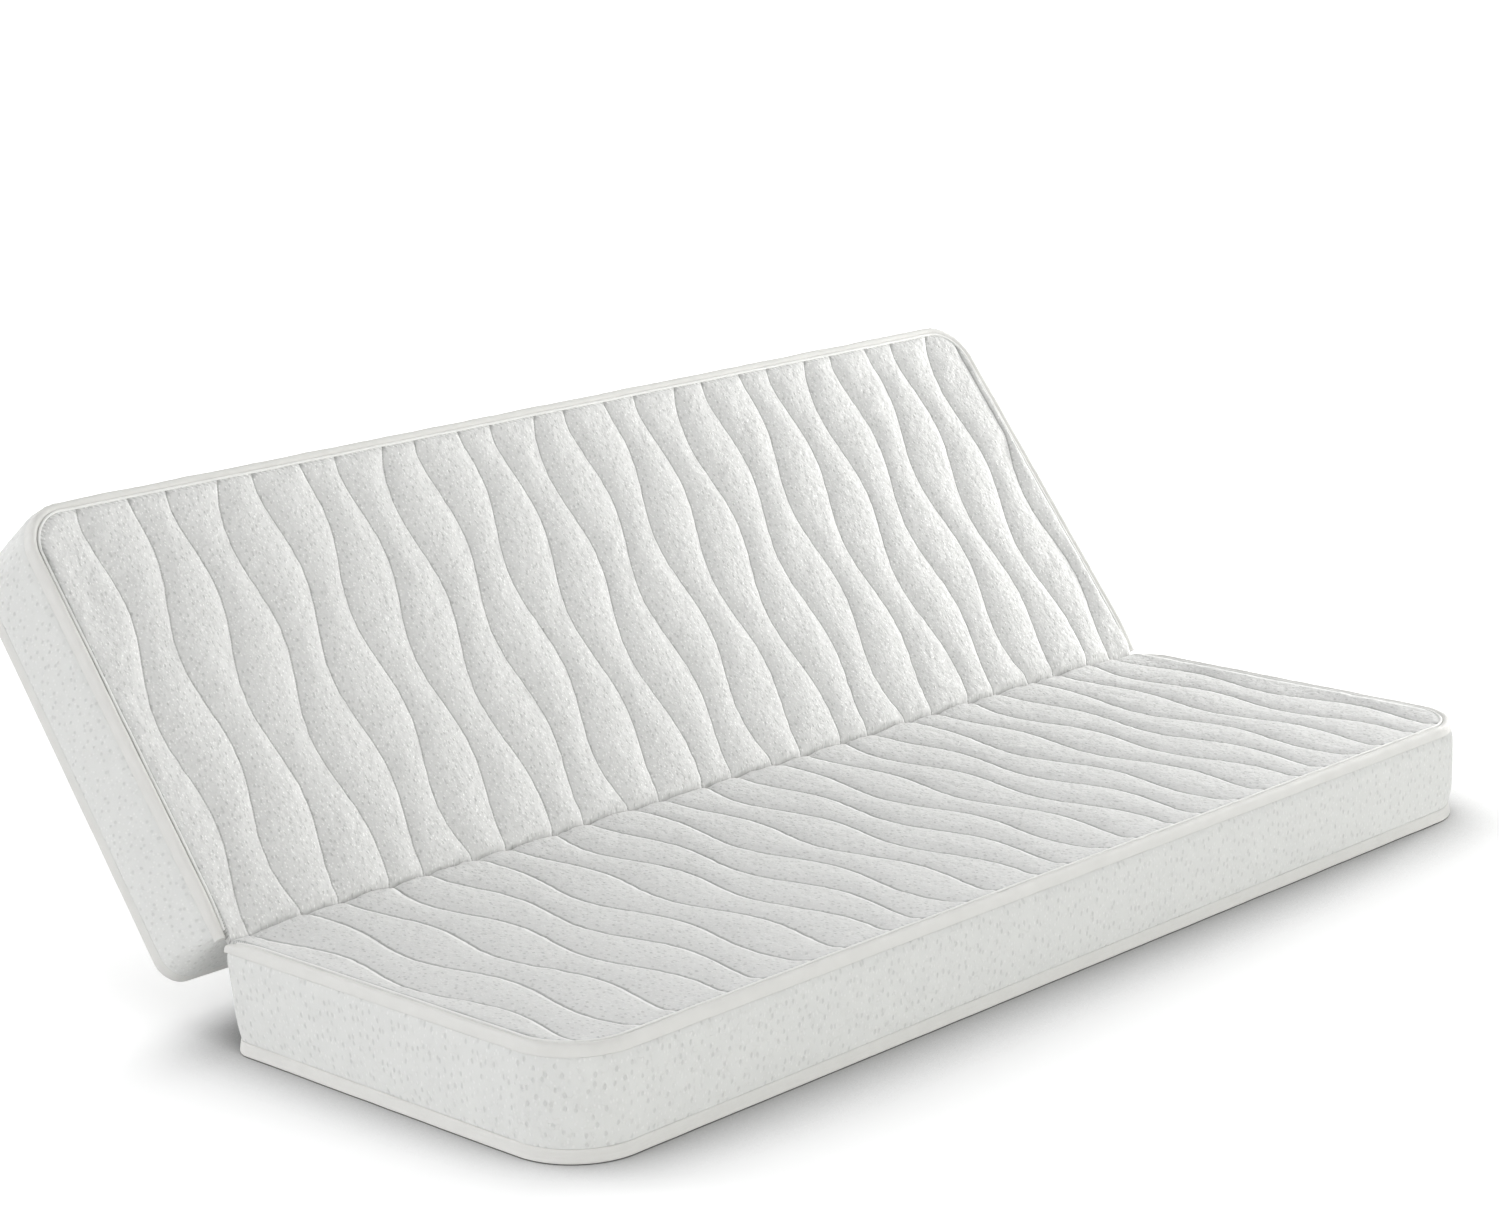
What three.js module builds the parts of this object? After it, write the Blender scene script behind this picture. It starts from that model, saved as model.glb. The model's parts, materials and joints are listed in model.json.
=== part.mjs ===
// Sofa bed mattress: two foam sections in one quilted cover, joined by a sewn fold.
// Millimetres, +Z up. X runs along the fold. The origin is the middle of the seat section's
// underside, and the back section is shown raised, as it rests against a sofa bed's back frame.
import * as THREE from 'three';

// Whole mattress
const WIDTH = 1900;
const SECTION_DEPTH = 640;
const THICKNESS = 148;
const LEAN_DEG = 38;

// Plan corners of one section, and the fold between the two
const FAR_CORNER_RADIUS = 95;
const FOLD_CORNER_RADIUS_TOP = 4;
const FOLD_CORNER_RADIUS_BOTTOM = 60;
const FOLD_GAP = 3;
const FOLD_AXIS_RISE = 1;
const CLEARANCE = 0.3;

// Side border, bottom panel and bottom edge tape
const BORDER_BULGE = 5;
const BORDER_THICKNESS = 6;
const BOTTOM_PANEL_THICKNESS = 3;
const BOTTOM_TAPE_HEIGHT = 18;
const BOTTOM_TAPE_THICKNESS = 3;
const BOTTOM_TAPE_FLARE = 2;

// Filling under the quilted top: the foam core takes the height that is left
const FELT_THICKNESS = 5;
const COMFORT_FOAM_THICKNESS = 20;

// Rolled tape on the top edge, with a piping cord on its inner shoulder
const TOP_TAPE_WIDTH = 14;
const TOP_TAPE_HEIGHT = 16;
const TAPE_FOLD_DROP = 12;
const PIPING_DIAMETER = 4;
const PIPING_FROM_QUILT = 1.3;
const PIPING_BELOW_CREST = 1.2;
const PIPING_END_GAP = 12;

// Quilted top panel
const QUILT_BELOW_PIPING = 0.5;
const QUILT_EDGE_THICKNESS = 3.2;
const GROOVE_DEPTH = 6.5;
const EDGE_PUFF = 1.5;
const EDGE_ROLL = 35;
const FOLD_ROLL = 70;

// Wave stitching: the lines cross the fold unbroken, from the seat's edge to the back's
const WAVE_PITCH = 74;
const WAVE_LENGTH = 306;
const WAVE_SWING = 12.5;
const EDGE_CHANNEL_MIN = 40;
const WAVE_PHASE_SHARE = 0.5;
const WAVE_STEP_SHARE = 0.25;

// Fold strip: a gutter of fabric round the fold's axis
const STRIP_THICKNESS = 3;
const STRIP_CLEARANCE = 0.5;
const STRIP_LAP_DEG = 8;

// How finely curves are faceted
const FAR_CORNER_STEPS = 10;
const FOLD_CORNER_STEPS = 5;
const PIPING_SIDES = 6;
const STRIP_STEPS = 10;
const WAVE_ROWS = 8;

// Outlines as shares of the piece's own sizes
const BORDER_HEIGHT_SHARES = [0, 0.15, 0.5, 0.85, 1];
const BOTTOM_TAPE_FLARE_SHARES = [[0.4, 0], [1, 0.25], [0.2, 0.8], [0, 1]];
const TOP_TAPE_SHARES = [
  [0, 0], [-0.08, 0.35], [-0.02, 0.75], [0.18, 0.97], [0.42, 1], [0.66, 0.88], [0.85, 0.6], [1, 0.35], [1, 0],
];
const FOLD_ROW_SHARES = [0, 0.25, 0.6];
const CROWN_EDGE_SHARES = [0.27, 0.73];

// Heights that follow from the sizes above
const HALF_WIDTH = WIDTH / 2 - BORDER_BULGE;
const FAR_EDGE = SECTION_DEPTH - BORDER_BULGE;
const TOP_TAPE_BASE = THICKNESS - TOP_TAPE_HEIGHT;
const BORDER_BASE = BOTTOM_TAPE_HEIGHT + CLEARANCE;
const BORDER_TOP = TOP_TAPE_BASE - CLEARANCE;
const FELT_BASE = BOTTOM_PANEL_THICKNESS + CLEARANCE;
const CORE_BASE = FELT_BASE + FELT_THICKNESS + CLEARANCE;
const COMFORT_TOP = TOP_TAPE_BASE - CLEARANCE;
const COMFORT_BASE = COMFORT_TOP - COMFORT_FOAM_THICKNESS;
const CORE_TOP = COMFORT_BASE - CLEARANCE;
const FILLING_INSET = BORDER_THICKNESS + CLEARANCE;

// The quilted panel's own outline, inside the tape, and its levels
const QUILT_HALF_WIDTH = HALF_WIDTH - TOP_TAPE_WIDTH - CLEARANCE;
const QUILT_FAR_EDGE = FAR_EDGE - TOP_TAPE_WIDTH - CLEARANCE;
const QUILT_CORNER_RADIUS = FAR_CORNER_RADIUS - TOP_TAPE_WIDTH - CLEARANCE;
const QUILT_BASE = TOP_TAPE_BASE;
const QUILT_EDGE_Z = QUILT_BASE + QUILT_EDGE_THICKNESS;
const QUILT_CROWN_Z = THICKNESS - QUILT_BELOW_PIPING;
const QUILT_GROOVE_Z = QUILT_CROWN_Z - GROOVE_DEPTH;

// The fold's axis lies along X, just over the level of the sleeping surface
const FOLD_Y = SECTION_DEPTH / 2;
const FOLD_AXIS_Z = THICKNESS + FOLD_AXIS_RISE;
const RIGHT_ANGLE_DEG = 90;
const RAISE_DEG = RIGHT_ANGLE_DEG - LEAN_DEG;

// Which way a section reaches from the fold
const SEAT = -1;
const BACK = 1;

const clamp01 = (t) => Math.min(1, Math.max(0, t));
const roundOver = (t) => Math.sin(clamp01(t) * Math.PI / 2);
const cosDeg = (deg) => Math.cos(THREE.MathUtils.degToRad(deg));
const sinDeg = (deg) => Math.sin(THREE.MathUtils.degToRad(deg));

// Finishes
const knit = new THREE.MeshStandardMaterial({ color: 0xe9e9e6, roughness: 0.85, metalness: 0 });
const borderKnit = new THREE.MeshStandardMaterial({ color: 0xe4e5e2, roughness: 0.85, metalness: 0 });
const tapeCloth = new THREE.MeshStandardMaterial({ color: 0xecebe2, roughness: 0.7, metalness: 0 });
const cordCloth = new THREE.MeshStandardMaterial({ color: 0xf3f2ea, roughness: 0.6, metalness: 0 });
const baseCloth = new THREE.MeshStandardMaterial({ color: 0xdddcd6, roughness: 0.9, metalness: 0 });
const coreFoam = new THREE.MeshStandardMaterial({ color: 0xf0e9cf, roughness: 0.95, metalness: 0 });
const softFoam = new THREE.MeshStandardMaterial({ color: 0xdfeaf0, roughness: 0.95, metalness: 0 });
const felt = new THREE.MeshStandardMaterial({ color: 0xc9c6bf, roughness: 1, metalness: 0 });

// Points are [x, v, z], where v is the distance from the fold's axis along the section.
// Triangles are wound for the seat, and turned over for the back, which is its mirror image.
function toMesh(name, points, triangles, reach, material) {
  const positions = points.flatMap(([x, v, z]) => [x, reach * v, z]);
  const indices = triangles.flatMap(([a, b, c]) => (reach === SEAT ? [a, b, c] : [a, c, b]));
  const geometry = new THREE.BufferGeometry();
  geometry.setAttribute('position', new THREE.Float32BufferAttribute(positions, 3));
  geometry.setIndex(indices);
  geometry.computeVertexNormals();
  const mesh = new THREE.Mesh(geometry, material);
  mesh.name = name;
  return mesh;
}

// Joins row A of a grid of point numbers to row B, so that the faces look away from the inside
function bridge(rowA, rowB, closed) {
  const triangles = [];
  const count = closed ? rowA.length : rowA.length - 1;
  for (let i = 0; i < count; i += 1) {
    const next = (i + 1) % rowA.length;
    triangles.push([rowA[i], rowA[next], rowB[next]]);
    triangles.push([rowA[i], rowB[next], rowB[i]]);
  }
  return triangles;
}

// Closes a convex loop of point numbers with a fan
function fan(loop) {
  return loop.slice(2).map((last, i) => [loop[0], loop[i + 1], last]);
}

// Stations of a corner: where the outline is, and which way it faces
function corner(centreX, centreV, radius, fromDeg, toDeg, steps) {
  return Array.from({ length: steps + 1 }, (_, i) => {
    const deg = fromDeg + (toDeg - fromDeg) * i / steps;
    const outX = cosDeg(deg);
    const outV = -sinDeg(deg);
    return { x: centreX + radius * outX, v: centreV + radius * outV, outX, outV };
  });
}

const farCorner = (sign, fromDeg, toDeg) => corner(sign * (HALF_WIDTH - FAR_CORNER_RADIUS),
  FAR_EDGE - FAR_CORNER_RADIUS, FAR_CORNER_RADIUS, fromDeg, toDeg, FAR_CORNER_STEPS);

const foldCorner = (sign, radius, fromDeg, toDeg) => corner(sign * (HALF_WIDTH - radius),
  FOLD_GAP + radius, radius, fromDeg, toDeg, FOLD_CORNER_STEPS);

// One section's whole outline, counterclockwise from the fold's left end
function closedStations(foldRadius) {
  return [
    ...foldCorner(-1, foldRadius, 90, 180),
    ...farCorner(-1, 180, 270),
    ...farCorner(1, 270, 360),
    ...foldCorner(1, foldRadius, 0, 90),
  ];
}

// A point of the outline, moved in by inset. The fold face has no bulge, so that it closes flat.
function place(station, inset, z) {
  const insetV = station.outV < 0 ? Math.max(0, inset) : inset;
  return [station.x - station.outX * inset, station.v - station.outV * insetV, z];
}

// A ring of the section's outline. Each level is { inset, z, foldRadius }, outside going up first.
function ring(name, levels, reach, material) {
  const loops = levels.map(({ inset, z, foldRadius }) => (
    closedStations(foldRadius).map((station) => place(station, inset, z))));
  const size = loops[0].length;
  const rows = loops.map((_, j) => Array.from({ length: size }, (__, i) => j * size + i));
  const triangles = rows.flatMap((row, j) => bridge(row, rows[(j + 1) % rows.length], true));
  return toMesh(name, loops.flat(), triangles, reach, material);
}

// A flat layer with the section's outline
function layer(name, inset, low, high, reach, material) {
  const stations = closedStations(FOLD_CORNER_RADIUS_BOTTOM);
  const points = [low, high].flatMap((z) => stations.map((station) => place(station, inset, z)));
  const bottom = stations.map((_, i) => i);
  const top = stations.map((_, i) => stations.length + i);
  const triangles = [...bridge(bottom, top, true), ...fan(top), ...fan([...bottom].reverse())];
  return toMesh(name, points, triangles, reach, material);
}

// How far the tape and the piping come down at a distance v from the fold's axis
function foldDrop(v) {
  const left = 1 - clamp01((v - FOLD_GAP) / FOLD_ROLL);
  return TAPE_FOLD_DROP * left * left;
}

// A strip round the three free sides of the top. The profile is [inset, z], outside going up first,
// and hold is the share of its points' heights that stays put near the fold.
function edgeStrip(name, profile, startV, reach, material, lowest) {
  const rollV = [...FOLD_ROW_SHARES, 1].map((share) => FOLD_GAP + FOLD_ROLL * share);
  const sideV = [startV, ...rollV.filter((v) => v > startV)];
  const side = (sign, list) => list.map((v) => ({ x: sign * HALF_WIDTH, v, outX: sign, outV: 0 }));
  const stations = [
    ...side(-1, sideV),
    ...farCorner(-1, 180, 270),
    ...farCorner(1, 270, 360),
    ...side(1, [...sideV].reverse()),
  ];
  const rows = profile.map((_, j) => stations.map((__, i) => j * stations.length + i));
  const points = profile.flatMap(([inset, z]) => stations.map((station) => (
    place(station, inset, z - (z > lowest ? foldDrop(station.v) * clamp01((z - lowest) / TOP_TAPE_HEIGHT) : 0)))));
  const triangles = rows.flatMap((row, j) => bridge(row, rows[(j + 1) % rows.length], false));
  const startCap = rows.map((row) => row[0]);
  const endCap = rows.map((row) => row[row.length - 1]).reverse();
  return toMesh(name, points, [...triangles, ...fan(startCap), ...fan(endCap)], reach, material);
}

function borderBand(name, reach) {
  const height = BORDER_TOP - BORDER_BASE;
  const radiusAt = (share) => THREE.MathUtils.lerp(FOLD_CORNER_RADIUS_BOTTOM, FOLD_CORNER_RADIUS_TOP
    + BORDER_THICKNESS, share);
  const outside = BORDER_HEIGHT_SHARES.map((share) => ({
    inset: -BORDER_BULGE * Math.sin(share * Math.PI),
    z: BORDER_BASE + height * share,
    foldRadius: radiusAt(share),
  }));
  const inside = [...BORDER_HEIGHT_SHARES].reverse().map((share) => ({
    inset: BORDER_THICKNESS,
    z: BORDER_BASE + height * share,
    foldRadius: radiusAt(share),
  }));
  return ring(name, [...outside, ...inside], reach, borderKnit);
}

function bottomEdgeTape(name, reach) {
  const outside = BOTTOM_TAPE_FLARE_SHARES.map(([flareShare, heightShare]) => ({
    inset: -BOTTOM_TAPE_FLARE * flareShare,
    z: BOTTOM_TAPE_HEIGHT * heightShare,
    foldRadius: FOLD_CORNER_RADIUS_BOTTOM,
  }));
  const inside = [BOTTOM_TAPE_HEIGHT, 0].map((z) => ({
    inset: BOTTOM_TAPE_THICKNESS, z, foldRadius: FOLD_CORNER_RADIUS_BOTTOM,
  }));
  return ring(name, [...outside, ...inside], reach, tapeCloth);
}

function topEdgeTape(name, reach) {
  const profile = TOP_TAPE_SHARES.map(([widthShare, heightShare]) => (
    [TOP_TAPE_WIDTH * widthShare, TOP_TAPE_BASE + TOP_TAPE_HEIGHT * heightShare]));
  return edgeStrip(name, profile, FOLD_GAP, reach, tapeCloth, TOP_TAPE_BASE);
}

function pipingCord(name, reach) {
  const radius = PIPING_DIAMETER / 2;
  const centreInset = TOP_TAPE_WIDTH - PIPING_FROM_QUILT;
  const centreZ = THICKNESS - PIPING_BELOW_CREST - radius;
  const profile = Array.from({ length: PIPING_SIDES }, (_, i) => {
    const deg = 360 * (i + 0.5) / PIPING_SIDES - 180;
    return [centreInset + radius * cosDeg(deg), centreZ - radius * sinDeg(deg)];
  });
  return edgeStrip(name, profile, PIPING_END_GAP, reach, cordCloth, TOP_TAPE_BASE);
}

// Stitched lines, numbered from the middle of the mattress
const LINES_EACH_SIDE = Math.floor((HALF_WIDTH - EDGE_CHANNEL_MIN) / WAVE_PITCH);

// Where a line lies at panel distance w from the fold, negative on the seat
function lineX(number, w) {
  const phase = WAVE_PHASE_SHARE + WAVE_STEP_SHARE * Math.sin(number * Math.PI / 2);
  return number * WAVE_PITCH + WAVE_SWING * Math.cos(2 * Math.PI * (w / WAVE_LENGTH - phase));
}

// Columns of the quilted grid: an edge, then a channel's crown and the groove after it, and so on
function quiltColumns(reach) {
  const left = () => -QUILT_HALF_WIDTH;
  const right = () => QUILT_HALF_WIDTH;
  const lines = [];
  for (let number = -LINES_EACH_SIDE; number <= LINES_EACH_SIDE; number += 1) {
    lines.push((v) => lineX(number, reach * v));
  }
  const borders = [left, ...lines, right];
  const columns = [{ at: left, top: QUILT_EDGE_Z }];
  for (let i = 1; i < borders.length; i += 1) {
    const before = borders[i - 1];
    const after = borders[i];
    CROWN_EDGE_SHARES.forEach((share) => columns.push({
      at: (v) => THREE.MathUtils.lerp(before(v), after(v), share), top: QUILT_CROWN_Z, crown: true,
    }));
    columns.push({ at: after, top: i < borders.length - 1 ? QUILT_GROOVE_Z : QUILT_EDGE_Z });
  }
  return columns;
}

// How far into a far corner a point lies: nothing on the straight sides
const intoCorner = (x) => Math.max(0, Math.abs(x) - (QUILT_HALF_WIDTH - QUILT_CORNER_RADIUS));

function quiltFarV(x) {
  const into = Math.min(QUILT_CORNER_RADIUS, intoCorner(x));
  return QUILT_FAR_EDGE - QUILT_CORNER_RADIUS + Math.sqrt(QUILT_CORNER_RADIUS ** 2 - into ** 2);
}

function quiltEdgeDistance(x, v) {
  const intoV = v - (QUILT_FAR_EDGE - QUILT_CORNER_RADIUS);
  if (intoV > 0) {
    return QUILT_CORNER_RADIUS - Math.hypot(intoCorner(x), intoV);
  }
  return QUILT_HALF_WIDTH - Math.abs(x);
}

// Height of the quilted surface: it rises from its edges, and rolls down into the fold
function quiltZ(column, x, v) {
  const edgeRise = roundOver(quiltEdgeDistance(x, v) / EDGE_ROLL);
  const foldLeft = 1 - clamp01((v - FOLD_GAP) / FOLD_ROLL);
  const foldRise = 1 - foldLeft * foldLeft;
  const puff = column.crown ? EDGE_PUFF * (1 - edgeRise) * foldRise : 0;
  return QUILT_EDGE_Z + (column.top - QUILT_EDGE_Z) * edgeRise * foldRise + puff;
}

function quiltedTop(name, reach) {
  const length = QUILT_FAR_EDGE - FOLD_GAP;
  const waveStart = FOLD_ROLL / length;
  const waveEnd = 1 - EDGE_ROLL / length;
  const rowShares = [
    ...FOLD_ROW_SHARES.map((share) => share * waveStart),
    ...Array.from({ length: WAVE_ROWS + 1 }, (_, i) => THREE.MathUtils.lerp(waveStart, waveEnd, i / WAVE_ROWS)),
    1,
  ];
  const columns = quiltColumns(reach);
  const topPoints = rowShares.flatMap((share) => columns.map((column) => {
    let v = FOLD_GAP + length * share;
    for (let pass = 0; pass < 6; pass += 1) {
      v = FOLD_GAP + (quiltFarV(column.at(v)) - FOLD_GAP) * share;
    }
    const x = column.at(v);
    return [x, v, quiltZ(column, x, v)];
  }));
  const topRows = rowShares.map((_, i) => columns.map((__, j) => i * columns.length + j));
  const foldRow = topRows[0];
  const farRow = topRows[topRows.length - 1];
  const leftSide = topRows.map((row) => row[0]);
  const rightSide = topRows.map((row) => row[row.length - 1]);
  const edge = [...leftSide, ...farRow.slice(1, -1), ...[...rightSide].reverse(), ...[...foldRow].reverse().slice(1, -1)];
  const below = new Map(edge.map((point, i) => [point, topPoints.length + i]));
  const points = [...topPoints, ...edge.map((point) => [topPoints[point][0], topPoints[point][1], QUILT_BASE])];
  const edgeBelow = edge.map((point) => below.get(point));
  const surface = topRows.slice(1).flatMap((row, i) => bridge(row, topRows[i], false));
  return toMesh(name, points, [...surface, ...bridge(edgeBelow, edge, true),
    ...underside(foldRow, farRow, leftSide, rightSide, below)], reach, knit);
}

// The flat underside of the quilted panel, from the fold's edge to the far edge, column by column
function underside(foldRow, farRow, leftSide, rightSide, below) {
  const last = foldRow.length - 1;
  const number = (point) => below.get(point);
  const middle = bridge(foldRow.slice(1, last).map(number), farRow.slice(1, last).map(number), false);
  const leftFan = fan([foldRow[1], farRow[1], ...[...leftSide].reverse()].map(number));
  const rightFan = fan([foldRow[last - 1], ...rightSide, farRow[last - 1]].map(number));
  return [...middle, ...leftFan, ...rightFan];
}

// A gutter round the fold's axis, from the seat panel's fold edge to the back panel's
function foldStrip(name) {
  const outerRadius = Math.hypot(FOLD_GAP, FOLD_AXIS_Z - QUILT_EDGE_Z) - STRIP_CLEARANCE;
  const innerRadius = outerRadius - STRIP_THICKNESS;
  const edgeDeg = THREE.MathUtils.radToDeg(Math.atan2(FOLD_GAP, FOLD_AXIS_Z - QUILT_EDGE_Z));
  const fromDeg = -RIGHT_ANGLE_DEG - edgeDeg - STRIP_LAP_DEG;
  const toDeg = -RIGHT_ANGLE_DEG + edgeDeg + RAISE_DEG + STRIP_LAP_DEG;
  const shape = new THREE.Shape();
  shape.absarc(0, 0, outerRadius, THREE.MathUtils.degToRad(fromDeg), THREE.MathUtils.degToRad(toDeg), false);
  shape.absarc(0, 0, innerRadius, THREE.MathUtils.degToRad(toDeg), THREE.MathUtils.degToRad(fromDeg), true);
  const width = 2 * QUILT_HALF_WIDTH;
  const geometry = new THREE.ExtrudeGeometry(shape, { depth: width, bevelEnabled: false, curveSegments: STRIP_STEPS });
  geometry.translate(0, 0, -width / 2);
  const mesh = new THREE.Mesh(geometry, baseCloth);
  mesh.name = name;
  mesh.rotation.set(Math.PI / 2, Math.PI / 2, 0);
  mesh.position.set(0, FOLD_Y, FOLD_AXIS_Z);
  return mesh;
}

// Every piece of one section, flat, with the fold's axis over y = 0 and the underside at z = 0
function section(prefix, reach) {
  const group = new THREE.Group();
  group.add(
    quiltedTop(`${prefix}_quilted_top`, reach),
    topEdgeTape(`${prefix}_top_edge_tape`, reach),
    pipingCord(`${prefix}_piping_cord`, reach),
    borderBand(`${prefix}_border_band`, reach),
    bottomEdgeTape(`${prefix}_bottom_edge_tape`, reach),
    layer(`${prefix}_bottom_panel`, BOTTOM_TAPE_THICKNESS + CLEARANCE, 0, BOTTOM_PANEL_THICKNESS, reach, baseCloth),
    layer(`${prefix}_felt_layer`, FILLING_INSET, FELT_BASE, FELT_BASE + FELT_THICKNESS, reach, felt),
    layer(`${prefix}_foam_core`, FILLING_INSET, CORE_BASE, CORE_TOP, reach, coreFoam),
    layer(`${prefix}_comfort_foam`, FILLING_INSET, COMFORT_BASE, COMFORT_TOP, reach, softFoam),
  );
  return group;
}

const seatSection = section('seat', SEAT);
seatSection.position.set(0, FOLD_Y, 0);

const backPieces = section('back', BACK);
backPieces.position.set(0, 0, -FOLD_AXIS_Z);
const backSection = new THREE.Group();
backSection.add(backPieces);
backSection.position.set(0, FOLD_Y, FOLD_AXIS_Z);
backSection.rotation.x = THREE.MathUtils.degToRad(RAISE_DEG);

const mattress = new THREE.Group();
mattress.add(seatSection, backSection, foldStrip('fold_hinge_strip'));

export default mattress;
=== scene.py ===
"""A sofa bed mattress: two sections joined by one wave-quilted panel, with the back section raised.

Sizes are in metres. A section is sewn flat, with the fold's axis over y = 0 and its far edge
towards -Y, and is then put in its place. The quilted panel is laid out flat across both sections,
puffed up as cloth, and bent up at the fold.
"""

import json
import math

import bmesh
import bpy
import numpy as np
from mathutils import Matrix, Quaternion, Vector, noise


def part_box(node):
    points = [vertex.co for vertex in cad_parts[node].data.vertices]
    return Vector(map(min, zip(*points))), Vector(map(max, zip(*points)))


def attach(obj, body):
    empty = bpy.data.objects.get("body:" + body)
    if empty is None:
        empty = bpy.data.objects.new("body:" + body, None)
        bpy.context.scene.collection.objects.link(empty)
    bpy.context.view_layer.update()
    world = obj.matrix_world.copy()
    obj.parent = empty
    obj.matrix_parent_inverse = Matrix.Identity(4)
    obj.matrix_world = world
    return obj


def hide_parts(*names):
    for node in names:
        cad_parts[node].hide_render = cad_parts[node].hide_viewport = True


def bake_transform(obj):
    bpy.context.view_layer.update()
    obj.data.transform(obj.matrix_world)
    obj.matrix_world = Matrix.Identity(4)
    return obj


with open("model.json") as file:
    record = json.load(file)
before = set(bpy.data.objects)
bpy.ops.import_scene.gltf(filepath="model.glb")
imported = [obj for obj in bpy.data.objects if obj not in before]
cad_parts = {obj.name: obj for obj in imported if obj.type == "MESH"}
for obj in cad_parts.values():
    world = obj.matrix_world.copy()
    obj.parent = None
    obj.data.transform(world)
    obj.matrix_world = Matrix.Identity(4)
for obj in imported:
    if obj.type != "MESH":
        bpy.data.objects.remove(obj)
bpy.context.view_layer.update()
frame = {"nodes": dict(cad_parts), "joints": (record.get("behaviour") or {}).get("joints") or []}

MM = 0.001
SEAT = "seat_section"
BACK = "back_section"

# The fold, as the frame has it
fold = frame["joints"][0]
AXIS = Vector(fold["pos_m"])
RAISE = -math.radians(fold["range_deg"][0])
FOLD_GAP = 3 * MM
FOLD_REACH = 7 * MM

# Outline of a section, inside the bulge of its border
BULGE = 5 * MM
border_low, border_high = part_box("seat_border_band")
HALF_WIDTH = border_high.x - BULGE
FAR_EDGE = AXIS.y - border_low.y - BULGE
FAR_RADIUS = {SEAT: 95 * MM, BACK: 70 * MM}
FOLD_RADIUS_BOTTOM = 35 * MM
FOLD_RADIUS_TOP = 10 * MM

# Heights of a section's pieces
BORDER_BASE = border_low.z
BORDER_TOP = border_high.z
BORDER_THICKNESS = 6 * MM
TAPE_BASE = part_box("seat_top_edge_tape")[0].z
TAPE_HEIGHT = 16 * MM
TAPE_WIDTH = 14 * MM
TAPE_FOLD_DROP = 7 * MM
FOLD_ROLL = 70 * MM
CREST = TAPE_BASE + TAPE_HEIGHT
PIPING_RADIUS = 2 * MM
PIPING_FROM_QUILT = 1.3 * MM
PIPING_BELOW_CREST = 0.2 * MM
PIPING_END_GAP = 12 * MM
BOTTOM_TAPE_HEIGHT = 18 * MM
BOTTOM_TAPE_THICKNESS = 3 * MM
BOTTOM_TAPE_ROLL = {SEAT: 1.0, BACK: 0.35}
BOTTOM_PANEL_THICKNESS = 3 * MM
UNDER_SAG = {SEAT: 0.0, BACK: 10 * MM}
CLEARANCE = 0.3 * MM

# The quilted panel
PANEL_HALF = HALF_WIDTH - TAPE_WIDTH - CLEARANCE
PANEL_FAR = FAR_EDGE - TAPE_WIDTH - CLEARANCE
PANEL_UNDER = TAPE_BASE + CLEARANCE
PANEL_EDGE = CREST - 2.2 * MM
PANEL_GROOVE = CREST - 8.5 * MM
PANEL_THINNEST = 2.5 * MM
EDGE_ROLL = 35 * MM
GUTTER_ROLL = 26 * MM
GUTTER_RADIUS = 9 * MM
FOLD_SWELL = 11 * MM
SWELL_REACH = 70 * MM
SWELL_FROM_SIDE = 130 * MM
CROWN = 8 * MM
SEAT_CROWN = 0.75
CROWN_LIMIT = 8.5 * MM
CROWN_POWER = 0.65
STITCH_PULL = 1.3 * MM
STITCH_REACH = 3 * MM
STITCH_WANDER = (0.8 * MM, 16 * MM)

# Unevenness of the crowns, in shares of their height: puckers, and finer creases, deeper at the fold
PUCKER = (0.16, 26 * MM)
PUCKER_SEED = 3.7
CREASING = 0.1
CREASING_AT_FOLD = 0.4
CREASING_FROM_FOLD = 25 * MM
CREASING_LENGTH = 9 * MM
CREASING_SEED = 9.1

# The wave stitching
WAVE_PITCH = 74 * MM
WAVE_LENGTH = 306 * MM
WAVE_SWING = 12.5 * MM
WAVE_PHASE = 0.5
WAVE_STEP = 0.25
LINE_LEAN = 48 * MM
LINE_LEAN_POWER = 1.5
LINE_FROM_EDGE = 9 * MM
LINES_EACH_SIDE = 12
CHANNELS = 2 * LINES_EACH_SIDE + 2

# How finely the panel is laid out: shares of a channel, rows that crowd towards the fold, and how
# many times a point's place is worked out to settle it
COLUMN_SHARES = [0, 0.022, 0.07, 0.16, 0.3, 0.5, 0.7, 0.84, 0.93, 0.978]
PANEL_COLUMNS = CHANNELS * len(COLUMN_SHARES)
ROWS_EACH_SIDE = 92
ROW_CROWDING = 1.3
SPOT_ROUNDS = 5

# The puffing: how long it runs, and which of its heights counts as a full crown
PUFF_FRAMES = 10
FULL_CROWN_PERCENT = 95

# How finely the sewn pieces follow the outline
FAR_STEPS = 44
FOLD_STEPS = 14
FRONT_STEPS = 150
SIDE_STEPS = 48
PIPING_SIDES = 12
WELD = 0.01 * MM

# Unevenness of the sewn pieces: its height, or its angle where a gather wanders, and the length of
# its waves
TAPE_WAVE = (0.5 * MM, 70 * MM)
TAPE_RIPPLE = (0.25 * MM, 15 * MM)
TAPE_SINK = (0.6 * MM, 50 * MM)
TAPE_GATHER = (0.5 * MM, 13 * MM)
PIPING_WAVE = (0.3 * MM, 60 * MM)
BORDER_WAVE = (0.6 * MM, 110 * MM)
BORDER_RIPPLE = (0.2 * MM, 14 * MM)
BORDER_GATHER = (0.6 * MM, 11 * MM)
BORDER_GATHER_WANDER = (2, 40 * MM)
BOTTOM_TAPE_WAVE = (0.35 * MM, 60 * MM)
BOTTOM_TAPE_LIFT = (0.4 * MM, 40 * MM)
CORNER_FADE = 60 * MM

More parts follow.
